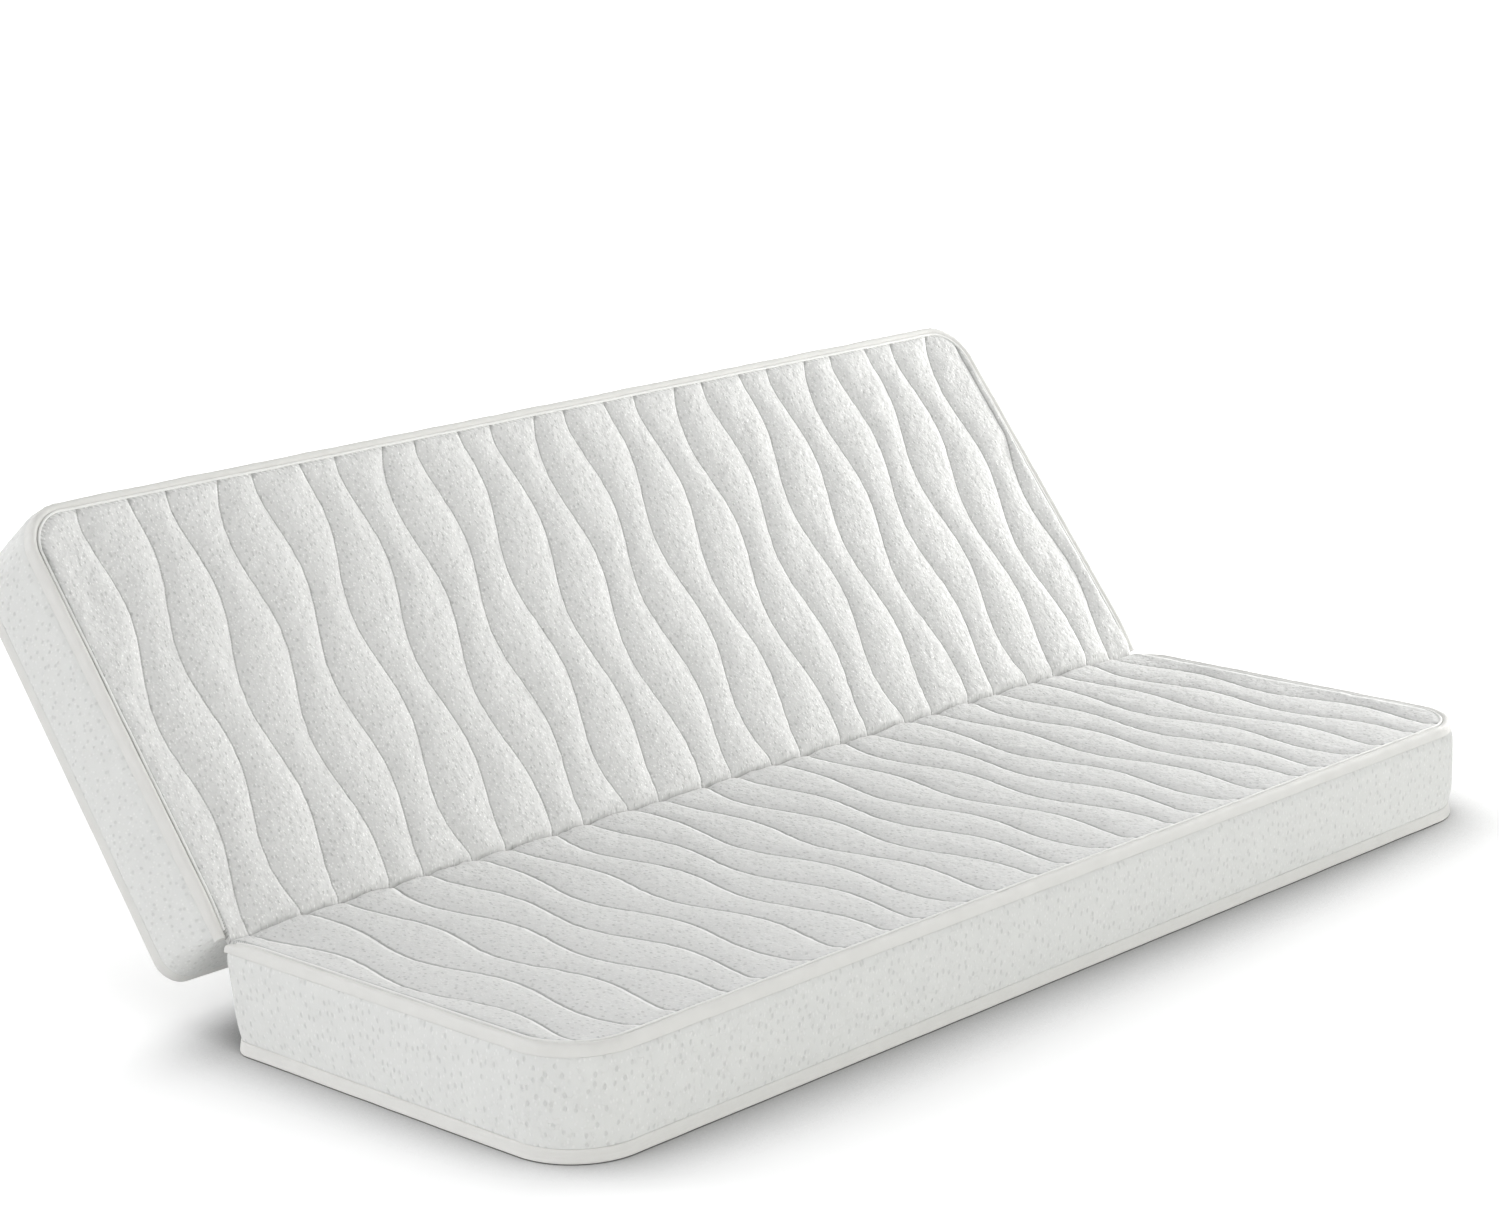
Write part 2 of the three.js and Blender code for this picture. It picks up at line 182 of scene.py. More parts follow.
# Seeds, and rows of noise, that keep one piece's unevenness unlike another's
SECTION_SEEDS = {SEAT: 1.3, BACK: 7.9}
GATHER_SEED_STEP = 3
PIPING_ROW = 2
BOTTOM_TAPE_ROW = 4
TAPE_SINK_ROW = 5

# The camera, as in the photo
CAMERA_PLACE = Vector((-3.584, -3.134, 1.612))
CAMERA_YAW = math.radians(46.29)
CAMERA_PITCH = math.radians(13.63)
CAMERA_ROLL = math.radians(-1.19)
CAMERA_LENS = 85.97
CAMERA_SENSOR = 36


def clamp(value, low=0.0, high=1.0):
    return max(low, min(high, value))


def smooth(value):
    """An even step from 0 to 1."""
    value = clamp(value)
    return value * value * (3 - 2 * value)


def ripple(along, across, seed, height, length):
    """Slow seeded unevenness: up to height to either side, in waves of about this length."""
    return height * 2 * noise.noise(Vector((along / length, across / length, seed)))


def grid_spot(vert, columns, rows):
    """Column and row of a vertex of a grid that spans -1 to 1."""
    return round((vert.co.x + 1) / 2 * columns), round((vert.co.y + 1) / 2 * rows)


def make_piece(name, cloth, material, crease_deg=50):
    """Turns a finished bmesh into an object with its place in its mesh."""
    mesh = bpy.data.meshes.new(name)
    cloth.to_mesh(mesh)
    cloth.free()
    mesh.shade_smooth()
    mesh.set_sharp_from_angle(angle=math.radians(crease_deg))
    mesh.materials.append(material)
    piece = bpy.data.objects.new(name, mesh)
    bpy.context.scene.collection.objects.link(piece)
    return piece


# Materials

FLOAT = "NodeSocketFloat"
VECTOR = "NodeSocketVector"
VECTOR_MATH = "ShaderNodeVectorMath"


def add_node(tree, kind, **settings):
    node = tree.nodes.new(kind)
    for name, value in settings.items():
        setattr(node, name, value)
    return node


def fill(tree, socket, value):
    """Sets a socket by value or by link."""
    if isinstance(value, bpy.types.NodeSocket):
        tree.links.new(value, socket)
    else:
        socket.default_value = value


def fill_in_order(tree, node, *values):
    """Fills a node's inputs from the first on."""
    for socket, value in zip(node.inputs, values):
        fill(tree, socket, value)
    return node


def join(tree, node, **inputs):
    """Fills a node's inputs by their names, in lower case with underscores."""
    in_use = {socket.name.lower().replace(" ", "_"): socket for socket in node.inputs if socket.enabled}
    for name, value in inputs.items():
        fill(tree, in_use[name], value)
    return node


def result_of(node):
    """The first output that a node has in use."""
    return next(socket for socket in node.outputs if socket.enabled)


def calculate(tree, operation, *values, kind="ShaderNodeMath"):
    return result_of(fill_in_order(tree, add_node(tree, kind, operation=operation), *values))


def multiply(tree, first, *factors):
    product = first
    for factor in factors:
        product = calculate(tree, "MULTIPLY", product, factor)
    return product


def blend_colours(tree, factor, first, second):
    node = add_node(tree, "ShaderNodeMix", data_type="RGBA")
    return result_of(join(tree, node, factor=factor, a=first, b=second))


def remap(tree, value, low, high, to_low, to_high):
    node = add_node(tree, "ShaderNodeMapRange", interpolation_type="SMOOTHSTEP")
    join(tree, node, value=value, from_min=low, from_max=high, to_min=to_low, to_max=to_high)
    return result_of(node)


def split_xyz(tree, vector):
    return join(tree, add_node(tree, "ShaderNodeSeparateXYZ"), vector=vector).outputs


def flat_noise(tree, vector, scale, detail):
    """Noise over a flat cloth. Its outputs are a colour and a value."""
    node = add_node(tree, "ShaderNodeTexNoise", noise_dimensions="2D")
    return join(tree, node, vector=vector, scale=scale, detail=detail).outputs


def waves(tree, along, length):
    """A sine wave of this length."""
    turns = calculate(tree, "DIVIDE", along, length)
    return calculate(tree, "SINE", multiply(tree, turns, math.tau))


def new_group(name, inputs, outputs):
    """A shader group, what it is given, and its output node. Sockets are named as {name: type}."""
    group = bpy.data.node_groups.new(name, "ShaderNodeTree")
    for in_out, sockets in (("INPUT", inputs), ("OUTPUT", outputs)):
        for label, kind in sockets.items():
            group.interface.new_socket(label, in_out=in_out, socket_type=kind)
    return group, group.nodes.new("NodeGroupInput").outputs, group.nodes.new("NodeGroupOutput")


# The cloths' textures: scale per metre, or per cell of dashes, and detail
DASH_WOBBLE = {"scale": 3.1, "detail": 1.0}
KNIT_CREASES = {"scale": 0.9, "detail": 2.0}
KNIT_FUZZ = {"scale": 260.0, "detail": 3.0}
KNIT_SHADE = {"scale": 22.0, "detail": 2.0}
KNIT_LINES = {"scale": 75.0, "detail": 2.0}
TWILL_SHADE = {"scale": 35.0, "detail": 3.0}
FOLD_SHADE = {"scale": 60.0, "detail": 1.0}

# How the knit's dashes and glints are strewn, in cells a few dashes wide and long
DASH_SPREAD = 3.1
DASH_SHIFT = (0.12, 0.12, 0)
DASH_SCALE = 1.0
GLINT_SCALE = 1.6
SPOT_EDGE = (0.1, 0.24)
SPOT_CHANCE = (0.1, 0.6)
SPOT_FAINTEST = 0.3
CRINKLE_EDGE = (0.0, 0.03)
CRINKLE_WHERE = (0.45, 0.6)

# The cloths' relief: how far apart the knit's wales are, and heights in shares of the depth
WALE = 1.5 * MM
WEAVE_HEIGHT = 0.05
DASH_HEIGHT = -0.8
GLINT_HEIGHT = 0.4
FUZZ_HEIGHT = 0.25
CRINKLE_HEIGHT = 0.5
CREASE_HEIGHT = 1.5
UNEVENNESS = 0.5
QUILT_DIMPLES = 4.0
RIB_HEIGHT = 0.12


def jacquard_group():
    """Short sunk dashes of a jacquard knit, with a raised glint beside each, over fine wales."""
    group, given, result = new_group(
        "jacquard knit",
        {"Cloth": VECTOR, "Dash Width": FLOAT, "Dash Length": FLOAT, "Dimple": FLOAT},
        {"Dash": FLOAT, "Glint": FLOAT, "Crinkle": FLOAT, "Height": FLOAT, "Shade": FLOAT},
    )
    cloth = given["Cloth"]
    cell = join(group, add_node(group, "ShaderNodeCombineXYZ"),
                x=multiply(group, given["Dash Width"], DASH_SPREAD),
                y=multiply(group, given["Dash Length"], DASH_SPREAD), z=1.0)
    cells = calculate(group, "DIVIDE", cloth, cell.outputs["Vector"], kind=VECTOR_MATH)
    wobble = flat_noise(group, cells, **DASH_WOBBLE)["Color"]
    strewn = calculate(group, "MULTIPLY_ADD", wobble, DASH_SHIFT, cells, kind=VECTOR_MATH)
    masks = []
    for scale in (DASH_SCALE, GLINT_SCALE):
        spots = join(group, add_node(group, "ShaderNodeTexVoronoi", voronoi_dimensions="2D"),
                     vector=strewn, scale=scale, randomness=1.0).outputs
        chance = split_xyz(group, spots["Color"])["X"]
        masks.append(multiply(group, remap(group, spots["Distance"], *SPOT_EDGE, 1.0, 0.0),
                              remap(group, chance, *SPOT_CHANCE, SPOT_FAINTEST, 1.0)))
    dash, glint = masks
    glint = multiply(group, glint, calculate(group, "SUBTRACT", 1.0, dash))

    fuzz = flat_noise(group, cloth, **KNIT_FUZZ)["Fac"]
    shade = flat_noise(group, cloth, **KNIT_SHADE)["Fac"]
    creases = flat_noise(group, cells, **KNIT_CREASES)["Fac"]
    lines = flat_noise(group, cloth, **KNIT_LINES)["Fac"]
    from_middle = calculate(group, "ABSOLUTE", calculate(group, "SUBTRACT", lines, 0.5))
    crinkle = multiply(group, remap(group, from_middle, *CRINKLE_EDGE, 1.0, 0.0),
                       remap(group, creases, *CRINKLE_WHERE, 0.0, 1.0))
    across, along, _ = split_xyz(group, cloth)
    height = multiply(group, waves(group, across, WALE), waves(group, along, WALE), WEAVE_HEIGHT)
    for part, level in ((dash, DASH_HEIGHT), (glint, GLINT_HEIGHT), (fuzz, FUZZ_HEIGHT),
                        (crinkle, CRINKLE_HEIGHT), (lines, given["Dimple"])):
        height = calculate(group, "MULTIPLY_ADD", part, level, height)
    uneven = calculate(group, "MULTIPLY_ADD", creases, CREASE_HEIGHT, shade)
    height = calculate(group, "ADD", height, multiply(group, uneven, UNEVENNESS))
    join(group, result, dash=dash, glint=glint, crinkle=crinkle, height=height, shade=shade)
    return group


def twill_group():
    """Fine slanted ribs of a woven tape, with slow unevenness."""
    group, given, result = new_group(
        "twill tape", {"Cloth": VECTOR, "Rib": FLOAT}, {"Height": FLOAT, "Shade": FLOAT})
    across, along, _ = split_xyz(group, given["Cloth"])
    ribs = waves(group, calculate(group, "ADD", across, along), given["Rib"])
    shade = flat_noise(group, given["Cloth"], **TWILL_SHADE)["Fac"]
    join(group, result, height=calculate(group, "MULTIPLY_ADD", ribs, RIB_HEIGHT, shade), shade=shade)
    return group


jacquard = jacquard_group()
twill = twill_group()


def new_material(name):
    """A material with its Principled shader wired to the output."""
    material = bpy.data.materials.new(name)
    material.use_nodes = True
    tree = material.node_tree
    return material, tree, tree.nodes["Principled BSDF"]


def use_uv(tree, name):
    return add_node(tree, "ShaderNodeUVMap", uv_map=name).outputs["UV"]


def use_group(tree, group, **inputs):
    return join(tree, add_node(tree, "ShaderNodeGroup", node_tree=group), **inputs).outputs


def bumped(tree, height, depth):
    node = add_node(tree, "ShaderNodeBump")
    return join(tree, node, height=height, distance=depth, strength=1.0).outputs["Normal"]


def darkened(colour, share):
    return tuple(share * part for part in colour[:3]) + (1,)


# Painted highlights and painted shadows beside the quilt's stitching, by distance from a stitched line:
# negative is on its left
# A painted highlight along the left of each stitched line, and a painted shadow along its right
HIGHLIGHT_RISE = (-6 * MM, -3.5 * MM)
HIGHLIGHT_FALL = (-0.5 * MM, 0.0)
HIGHLIGHT_LEVEL = 0.8
HIGHLIGHT_COLOUR = (0.95, 0.95, 0.94, 1)
SHADOW_RISE = (-0.6 * MM, 0.0)
SHADOW_FALL = (0.4 * MM, 1.8 * MM)
SHADOW_ON_SEAT = 0.75
SHADOW_ON_BACK = 0.65
SHADOW_SHADE = 0.5
SEAT_TO_BACK = (-30 * MM, 0.0)
SEAT_LINE_WIDTH = 1.9
GATHER_PERIOD = 9 * MM
GATHER_EDGE = (0.2, 0.4)
GATHER_REACH = (2 * MM, 7 * MM)
GATHER_LEVEL = 0.45
GATHER_SHADE = 0.55
GATHERS_FROM_FOLD = (0.5, 0.58)
LINE_END_WIDTH = (2 * MM, 7 * MM)
LINE_END_REACH = (3 * MM, 11 * MM)
LINE_END_LEVEL = 0.5
LINE_END_SHADE = 0.45
CREASE_REACH = (3 * MM, 8 * MM)
CREASE_WANDER = 9 * MM
CREASE_LEVEL = 0.2
CREASE_SHADE = 0.45
THREAD_PERIOD = 4 * MM
THREAD_EDGE = (0.3, 0.4)
THREAD_WIDTH = (0.3 * MM, 0.7 * MM)
THREAD_LEVEL = 0.6
THREAD_COLOUR = (0.9, 0.9, 0.88, 1)
DASH_SHADE = 0.75
# Crinkles and glints on the knit are lightened as painted highlights, with this strength and colour
CRINKLE_HIGHLIGHT_LEVEL = 0.4
PAINTED_GLINT_COLOUR = (0.92, 0.92, 0.91, 1)


def line_highlight_and_shadow(tree, colour, dark, from_line, on_back):
    """A painted highlight on the left of a stitched line and a painted shadow on its right, wider on the
    seat.
    """
    width = remap(tree, on_back, *SEAT_TO_BACK, SEAT_LINE_WIDTH, 1.0)
    from_line = calculate(tree, "DIVIDE", from_line, width)
    # The rim is a painted highlight
    rim = multiply(tree, remap(tree, from_line, *HIGHLIGHT_RISE, 0.0, HIGHLIGHT_LEVEL),
                   remap(tree, from_line, *HIGHLIGHT_FALL, 1.0, 0.0))
    colour = blend_colours(tree, rim, colour, HIGHLIGHT_COLOUR)
    shadow = multiply(tree, remap(tree, from_line, *SHADOW_RISE, 0.0, 1.0),
                      remap(tree, from_line, *SHADOW_FALL, 1.0, 0.0),
                      remap(tree, on_back, *SEAT_TO_BACK, SHADOW_ON_SEAT, SHADOW_ON_BACK))
    return blend_colours(tree, shadow, colour, darkened(dark, SHADOW_SHADE))


def gather_paint(tree, colour, dark, from_edge, along, from_fold):
    """Short shadows where the far edges are gathered into the tape."""
    turns = calculate(tree, "DIVIDE", along, GATHER_PERIOD)
    level = multiply(tree, remap(tree, calculate(tree, "PINGPONG", turns, 0.5), *GATHER_EDGE, 0.0, 1.0),
                     remap(tree, from_edge, *GATHER_REACH, GATHER_LEVEL, 0.0),
                     remap(tree, from_fold, *GATHERS_FROM_FOLD, 0.0, 1.0))
    return blend_colours(tree, level, colour, darkened(dark, GATHER_SHADE))


def line_end_paint(tree, colour, dark, from_line, from_edge, from_fold):
    """A pucker's shadow where a stitched line runs under the far edge's tape."""
    from_line = calculate(tree, "ABSOLUTE", from_line)
    level = multiply(tree, remap(tree, from_line, *LINE_END_WIDTH, LINE_END_LEVEL, 0.0),
                     remap(tree, from_edge, *LINE_END_REACH, 1.0, 0.0),
                     remap(tree, from_fold, *GATHERS_FROM_FOLD, 0.0, 1.0))
    return blend_colours(tree, level, colour, darkened(dark, LINE_END_SHADE))


def crease_paint(tree, colour, dark, from_fold):
    """The uneven shadow in the fold."""
    folds = flat_noise(tree, use_uv(tree, "cloth"), **FOLD_SHADE)["Fac"]
    wandering = calculate(tree, "MULTIPLY_ADD", folds, CREASE_WANDER, from_fold)
    level = remap(tree, wandering, *CREASE_REACH, CREASE_LEVEL, 0.0)
    return blend_colours(tree, level, colour, darkened(dark, CREASE_SHADE))


def thread_mask(tree, from_line, along):
    """Where the stitches of a line show."""
    stitch = calculate(tree, "FRACT", calculate(tree, "DIVIDE", along, THREAD_PERIOD))
    from_middle = calculate(tree, "ABSOLUTE", calculate(tree, "SUBTRACT", stitch, 0.5))
    near = remap(tree, calculate(tree, "ABSOLUTE", from_line), *THREAD_WIDTH, THREAD_LEVEL, 0.0)
    return multiply(tree, remap(tree, from_middle, *THREAD_EDGE, 1.0, 0.0), near)


def painted_light_and_stitches(tree, colour, dark):
    """Paints highlights and shadows beside the quilt's stitching, seams and fold, and its stitches. Also
    returns the stitches' mask.
    """
    from_line, from_edge, _ = split_xyz(tree, use_uv(tree, "seam"))
    across, along, _ = split_xyz(tree, use_uv(tree, "cloth"))
    from_fold = calculate(tree, "ABSOLUTE", along)
    colour = line_highlight_and_shadow(tree, colour, dark, from_line, along)
    colour = gather_paint(tree, colour, dark, from_edge, calculate(tree, "ADD", across, along), from_fold)
    colour = line_end_paint(tree, colour, dark, from_line, from_edge, from_fold)
    colour = crease_paint(tree, colour, dark, from_fold)
    thread = thread_mask(tree, from_line, along)
    return blend_colours(tree, thread, colour, THREAD_COLOUR), thread


# How deep the cloths' relief is, and how rough they are
KNIT_RELIEF = 0.7 * MM
WOVEN_RELIEF = 0.6 * MM
FILLING_RELIEF = 0.5 * MM
KNIT_ROUGH = 0.8
GLINT_ROUGH = 0.35
WOVEN_SHADES = (0.3, 0.7)
WOVEN_ROUGHER = 0.08
FIBRE_SCALE = 0.3


def knit_cloth(name, light, dark, size, dash, glint, seams):
    """The stretch knit, with dashes of this size and strength.

    A quilt's second map holds how far its seams are, and the strength of its dashes and glints is
    given for the seat and for the back.
    """
    material, tree, shader = new_material(name)
    cloth = use_uv(tree, "cloth")
    if seams:
        on_back = split_xyz(tree, cloth)["Y"]
        dash = remap(tree, on_back, *SEAT_TO_BACK, *dash)
        glint = remap(tree, on_back, *SEAT_TO_BACK, *glint)
    width, length = size
    knit = use_group(tree, jacquard, cloth=cloth, dash_width=width, dash_length=length,
                     dimple=QUILT_DIMPLES if seams else 0.0)
    colour = blend_colours(tree, knit["Shade"], dark, light)
    colour = blend_colours(tree, multiply(tree, knit["Dash"], dash), colour, darkened(dark, DASH_SHADE))
    # Glints: painted highlights, on the quilt stronger on the back than on the seat
    colour = blend_colours(tree, multiply(tree, knit["Glint"], glint), colour, PAINTED_GLINT_COLOUR)
    height = knit["Height"]
    if seams:
        # Crinkles: thin painted highlights
        crinkle = multiply(tree, knit["Crinkle"], CRINKLE_HIGHLIGHT_LEVEL)
        colour = blend_colours(tree, crinkle, colour, PAINTED_GLINT_COLOUR)
        colour, thread = painted_light_and_stitches(tree, colour, dark)
        height = calculate(tree, "ADD", height, thread)
    join(tree, shader, base_color=colour, normal=bumped(tree, height, KNIT_RELIEF),
         roughness=remap(tree, knit["Glint"], 0.0, 1.0, KNIT_ROUGH, GLINT_ROUGH),
         sheen_weight=0.12, sheen_roughness=0.6, specular_ior_level=0.4)
    return material


def woven_cloth(name, light, dark, rib, rough):
    """Plain woven tape, cord cover or underside cloth."""
    material, tree, shader = new_material(name)
    weave = use_group(tree, twill, cloth=use_uv(tree, "cloth"), rib=rib)
    join(tree, shader, base_color=blend_colours(tree, weave["Shade"], dark, light),
         normal=bumped(tree, weave["Height"], WOVEN_RELIEF),
         roughness=remap(tree, weave["Shade"], *WOVEN_SHADES, rough + WOVEN_ROUGHER, rough),
         sheen_weight=0.08, specular_ior_level=0.35)
    return material


def filling(name, light, dark, pore):
    """Foam or felt: a colour that varies with its pores or fibres."""
    material, tree, shader = new_material(name)
    place = add_node(tree, "ShaderNodeTexCoord").outputs["Object"]
    pores = join(tree, add_node(tree, "ShaderNodeTexVoronoi"), vector=place, scale=1 / pore)
    fibres = join(tree, add_node(tree, "ShaderNodeTexNoise"),
                  vector=place, scale=FIBRE_SCALE / pore, detail=4.0)
    mix = multiply(tree, pores.outputs["Distance"], fibres.outputs["Fac"])
    join(tree, shader, base_color=blend_colours(tree, mix, dark, light), roughness=0.95,
         normal=bumped(tree, pores.outputs["Distance"], FILLING_RELIEF))
    return material


quilt_knit = knit_cloth("quilt knit", light=(0.76, 0.76, 0.75, 1), dark=(0.71, 0.71, 0.7, 1),
                        size=(2.8 * MM, 4.4 * MM), dash=(0.7, 0.5), glint=(0.35, 1.0), seams=True)
border_knit = knit_cloth("border knit", light=(0.755, 0.76, 0.74, 1), dark=(0.71, 0.715, 0.7, 1),
                         size=(3.8 * MM, 6 * MM), dash=0.42, glint=0.3, seams=False)
tape_cloth = woven_cloth("edge tape twill", light=(0.8, 0.795, 0.77, 1), dark=(0.755, 0.75, 0.725, 1),
                         rib=1.2 * MM, rough=0.6)
cord_cloth = woven_cloth("piping cover", light=(0.94, 0.94, 0.92, 1), dark=(0.88, 0.88, 0.86, 1),
                         rib=0.9 * MM, rough=0.5)
under_cloth = woven_cloth("underside cloth", light=(0.68, 0.68, 0.66, 1), dark=(0.62, 0.62, 0.6, 1),
                          rib=2.0 * MM, rough=0.8)
fillings = {
    "foam_core": filling("core foam", light=(0.88, 0.83, 0.66, 1), dark=(0.74, 0.68, 0.5, 1), pore=2 * MM),
    "comfort_foam": filling("comfort foam", light=(0.78, 0.85, 0.9, 1), dark=(0.62, 0.7, 0.78, 1),
                            pore=1.4 * MM),
    "felt_layer": filling("felt", light=(0.62, 0.6, 0.57, 1), dark=(0.45, 0.43, 0.4, 1), pore=1 * MM),
}


# The quilted panel

def line_x(number, w):
    """Where a stitched line lies at distance w from the fold, negative on the seat."""
    phase = WAVE_PHASE + WAVE_STEP * math.sin(number * math.pi / 2)
    wave = WAVE_SWING * math.cos(math.tau * (w / WAVE_LENGTH - phase))
    lean = LINE_LEAN * clamp(w / PANEL_FAR) ** LINE_LEAN_POWER
    return min(number * WAVE_PITCH + wave + lean, PANEL_HALF - LINE_FROM_EDGE)


def channel_border(border, w):
    """The panel's left edge, its stitched lines from left to right, and its right edge."""
    if border == 0:
        return -PANEL_HALF
    if border == CHANNELS:
        return PANEL_HALF
    number = border - 1 - LINES_EACH_SIDE
    return line_x(number, w) + ripple(w, 0, number, *STITCH_WANDER)


def corner_at(x, w):
    """Radius of the panel's corners in this section, and how far x is into one."""
    radius = FAR_RADIUS[BACK if w > 0 else SEAT] - TAPE_WIDTH - CLEARANCE
    return radius, clamp(abs(x) - (PANEL_HALF - radius), 0, radius)


def panel_reach(x, w):
    """How far the panel goes from the fold at x, on the side that w is on, with its rounded corners."""
    radius, into = corner_at(x, w)
    return PANEL_FAR - radius + math.sqrt(radius ** 2 - into ** 2)


def edge_distance(x, w):
    radius, into = corner_at(x, w)
    beyond = abs(w) - (PANEL_FAR - radius)
    if beyond > 0:
        return radius - math.hypot(into, beyond)
    return PANEL_HALF - abs(x)


def panel_spot(column, row):
    """Flat place of a grid point, and its distance from the nearest stitched line or edge."""
    channel, step = divmod(column, len(COLUMN_SHARES))
    share = COLUMN_SHARES[step]
    steps = (row - ROWS_EACH_SIDE) / ROWS_EACH_SIDE
    row_share = math.copysign(abs(steps) ** ROW_CROWDING, steps)
    w = row_share * PANEL_FAR
    for _ in range(SPOT_ROUNDS):
        left = channel_border(channel, w)
        right = channel_border(channel + 1, w) if step else left
        x = left + (right - left) * share
        w = row_share * panel_reach(x, row_share)
    return x, w, min(share, 1 - share) * (right - left)


def fold_swell(x, w):
    """How much the foam, squeezed in the fold, lifts the cloth beside it."""
    from_side = smooth((PANEL_HALF - abs(x)) / SWELL_FROM_SIDE)
    return FOLD_SWELL * from_side * math.exp(-abs(w) / SWELL_REACH)


def crown_share(w):
    """The seat's crowns are pressed a little flatter."""
    return 1 - (1 - SEAT_CROWN) * smooth(-w / GUTTER_ROLL)


def base_height(x, w):
    """Height of the stitched lines: they swell beside the fold and roll down into it."""
    rise = math.sin(clamp(edge_distance(x, w) / EDGE_ROLL) * math.pi / 2)
    level = PANEL_EDGE + (PANEL_GROOVE - PANEL_EDGE) * rise + fold_swell(x, w)
    left = 1 - clamp(abs(w) / GUTTER_ROLL)
    gutter = AXIS.z - GUTTER_RADIUS
    return min(level, gutter + (level - gutter) * math.sqrt(1 - left * left))


def bent(x, w, z):
    """Takes a point of the flat panel to its place, turned about the fold's axis."""
    angle = RAISE * smooth((w + FOLD_REACH) / (2 * FOLD_REACH))
    turned = Matrix.Rotation(angle, 3, "X") @ Vector((0, w, z - AXIS.z))
    return Vector((x, AXIS.y + turned.y, AXIS.z + turned.z))


def flat_panel():
    """The panel laid out flat, and the points that its stitching holds.

    Its seam map holds the distance from the nearest stitched line, negative on the line's left, and
    the distance from the panel's edge.
    """
    rows = 2 * ROWS_EACH_SIDE
    cloth = bmesh.new()
    bmesh.ops.create_grid(cloth, x_segments=PANEL_COLUMNS, y_segments=rows, size=1)
    cloth_map = cloth.loops.layers.uv.new("cloth")
    seam_map = cloth.loops.layers.uv.new("seam")
    spots = {}
    pinned = []
    for vert in cloth.verts:
        column, row = grid_spot(vert, PANEL_COLUMNS, rows)
        spots[vert] = panel_spot(column, row)
        if column % len(COLUMN_SHARES) == 0 or row in (0, ROWS_EACH_SIDE, rows):
            pinned.append(vert.index)
    for face in cloth.faces:
        first = min(grid_spot(vert, PANEL_COLUMNS, rows)[0] for vert in face.verts)
        side = 1 if COLUMN_SHARES[first % len(COLUMN_SHARES)] < 0.5 else -1
        for loop in face.loops:
            x, w, seam = spots[loop.vert]
            loop[cloth_map].uv = (x, w)
            loop[seam_map].uv = (side * seam, edge_distance(x, w))
    for vert, (x, w, _) in spots.items():
        vert.co = (x, w, 0)
    mesh = bpy.data.meshes.new("seat and back quilted panel")
    cloth.to_mesh(mesh)
    cloth.free()
    return mesh, pinned


def puffed_heights(mesh, pinned):
    """Blows the flat panel up between its stitching and returns each point's height."""
    panel = bpy.data.objects.new("puffing", mesh)
    bpy.context.scene.collection.objects.link(panel)
    stitched = panel.vertex_groups.new(name="stitched")
    stitched.add(pinned, 1.0, "REPLACE")
    modifier = panel.modifiers.new("puff", "CLOTH")
    settings = modifier.settings
    settings.quality = 5
    settings.mass = 0.3
    settings.tension_stiffness = 20
    settings.compression_stiffness = 20
    settings.shear_stiffness = 8
    settings.bending_stiffness = 0.1
    settings.tension_damping = 8
    settings.compression_damping = 8
    settings.shear_damping = 8
    settings.air_damping = 2
    settings.vertex_group_mass = stitched.name
    settings.use_pressure = True
    settings.uniform_pressure_force = 8
    settings.effector_weights.gravity = 0
    modifier.collision_settings.use_collision = False
    for step in range(1, PUFF_FRAMES + 1):
        bpy.context.scene.frame_set(step)
    shaped = panel.evaluated_get(bpy.context.evaluated_depsgraph_get())
    places = np.zeros(len(mesh.vertices) * 3, np.float32)
    shaped.data.vertices.foreach_get("co", places)
    heights = places.reshape(-1, 3)[:, 2]
    bpy.data.objects.remove(panel)
    bpy.context.scene.frame_set(1)
    return heights


def crown_heights(heights):
    """Brings the puffed heights to the real crowns, with steeper flanks at the stitching."""
    full = np.percentile(heights, FULL_CROWN_PERCENT)
    shares = np.clip(heights / full, 0, None)
    return np.minimum(CROWN * shares ** CROWN_POWER, CROWN_LIMIT)


def quilted_panel():
    mesh, pinned = flat_panel()
    heights = crown_heights(puffed_heights(mesh, pinned))
    cloth = bmesh.new()
    cloth.from_mesh(mesh)
    flat = cloth.verts.layers.float_vector.new("flat place")
    seam_map = cloth.loops.layers.uv["seam"]
    for vert in cloth.verts:
        x, w, _ = vert.co
        seam = abs(vert.link_loops[0][seam_map].uv.x)
        puff = heights[vert.index]
        pull = STITCH_PULL * (1 - clamp(seam / STITCH_REACH)) ** 2
        creasing = CREASING + CREASING_AT_FOLD * math.exp(-abs(w) / CREASING_FROM_FOLD)
        pucker = (1 + ripple(x, w, PUCKER_SEED, *PUCKER)
                  + ripple(x, w, CREASING_SEED, creasing, CREASING_LENGTH))
        vert[flat] = (x, w, base_height(x, w) + crown_share(w) * puff * pucker - pull)
    raised = bmesh.ops.extrude_face_region(cloth, geom=cloth.faces)["geom"]
    upper = {item for item in raised if isinstance(item, bmesh.types.BMVert)}
    for vert in cloth.verts:
        x, w, top = vert[flat]
        level = top if vert in upper else min(PANEL_UNDER, top - PANEL_THINNEST)
        vert.co = bent(x, w, level)
    bmesh.ops.recalc_face_normals(cloth, faces=cloth.faces)
    return make_piece("quilted_panel", cloth, quilt_knit, crease_deg=35)


# Pieces sewn round a section

def arc(side, centre_y, radius, start_deg, steps):
    """Stations round a corner: each is a place and the way it faces, counterclockwise from above."""
    stations = []
    for step in range(steps + 1):
        angle = math.radians(start_deg + 90 * step / steps)
        out = Vector((math.cos(angle), math.sin(angle)))
        stations.append((Vector((side * (HALF_WIDTH - radius), centre_y)) + radius * out, out))
    return stations


